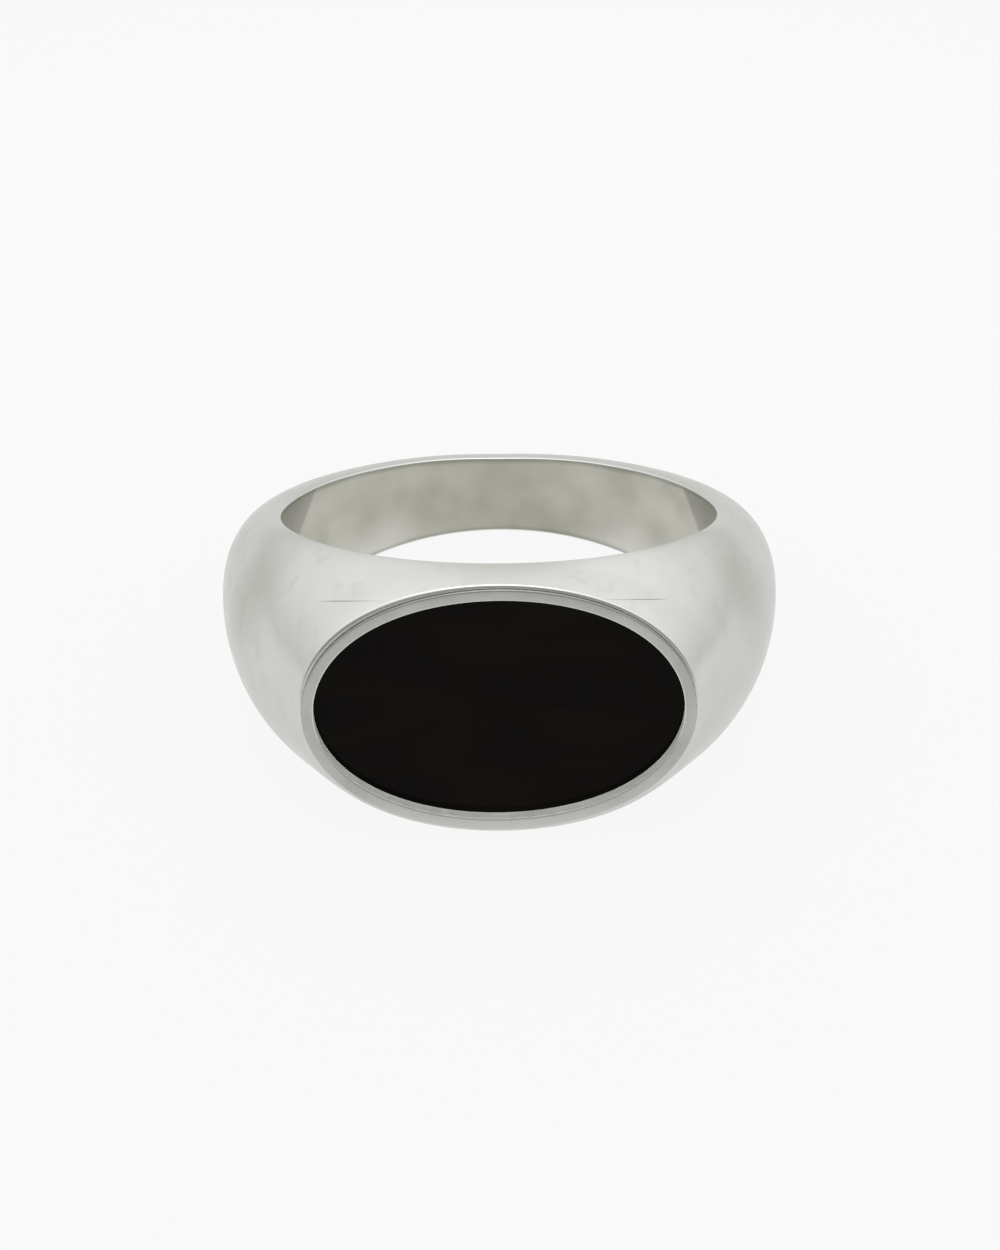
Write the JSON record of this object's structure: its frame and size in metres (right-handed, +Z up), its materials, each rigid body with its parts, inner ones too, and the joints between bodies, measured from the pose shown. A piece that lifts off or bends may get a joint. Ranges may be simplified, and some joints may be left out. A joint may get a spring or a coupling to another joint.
{
  "type": "signet ring",
  "caption": "Finger ring with a domed, tapering band and a wide oval head whose narrow flat rim frames a flat, slightly recessed black stone.",
  "frame": {"origin": "centre of the finger hole: on its axis, halfway along it", "axes": "+Z up from the surface that the ring lies on; +X across the finger, along the oval's long axis; -Y towards the bezel. The finger hole's axis leans 12.05 degrees from +Z towards +Y, because the ring lies on its side, on the head's edge and the back of the band"},
  "size_m": [0.0242, 0.0238, 0.0119],
  "materials": {
    "silver_body": "polished",
    "silver_rim": "satin",
    "onyx": "polished",
    "cement": "satin"
  },
  "bodies": {
    "root": {"ring_body": "silver_body", "bezel_collet": "silver_rim", "onyx_tablet": "onyx", "cement_bed": "cement"}
  },
  "joints": []
}
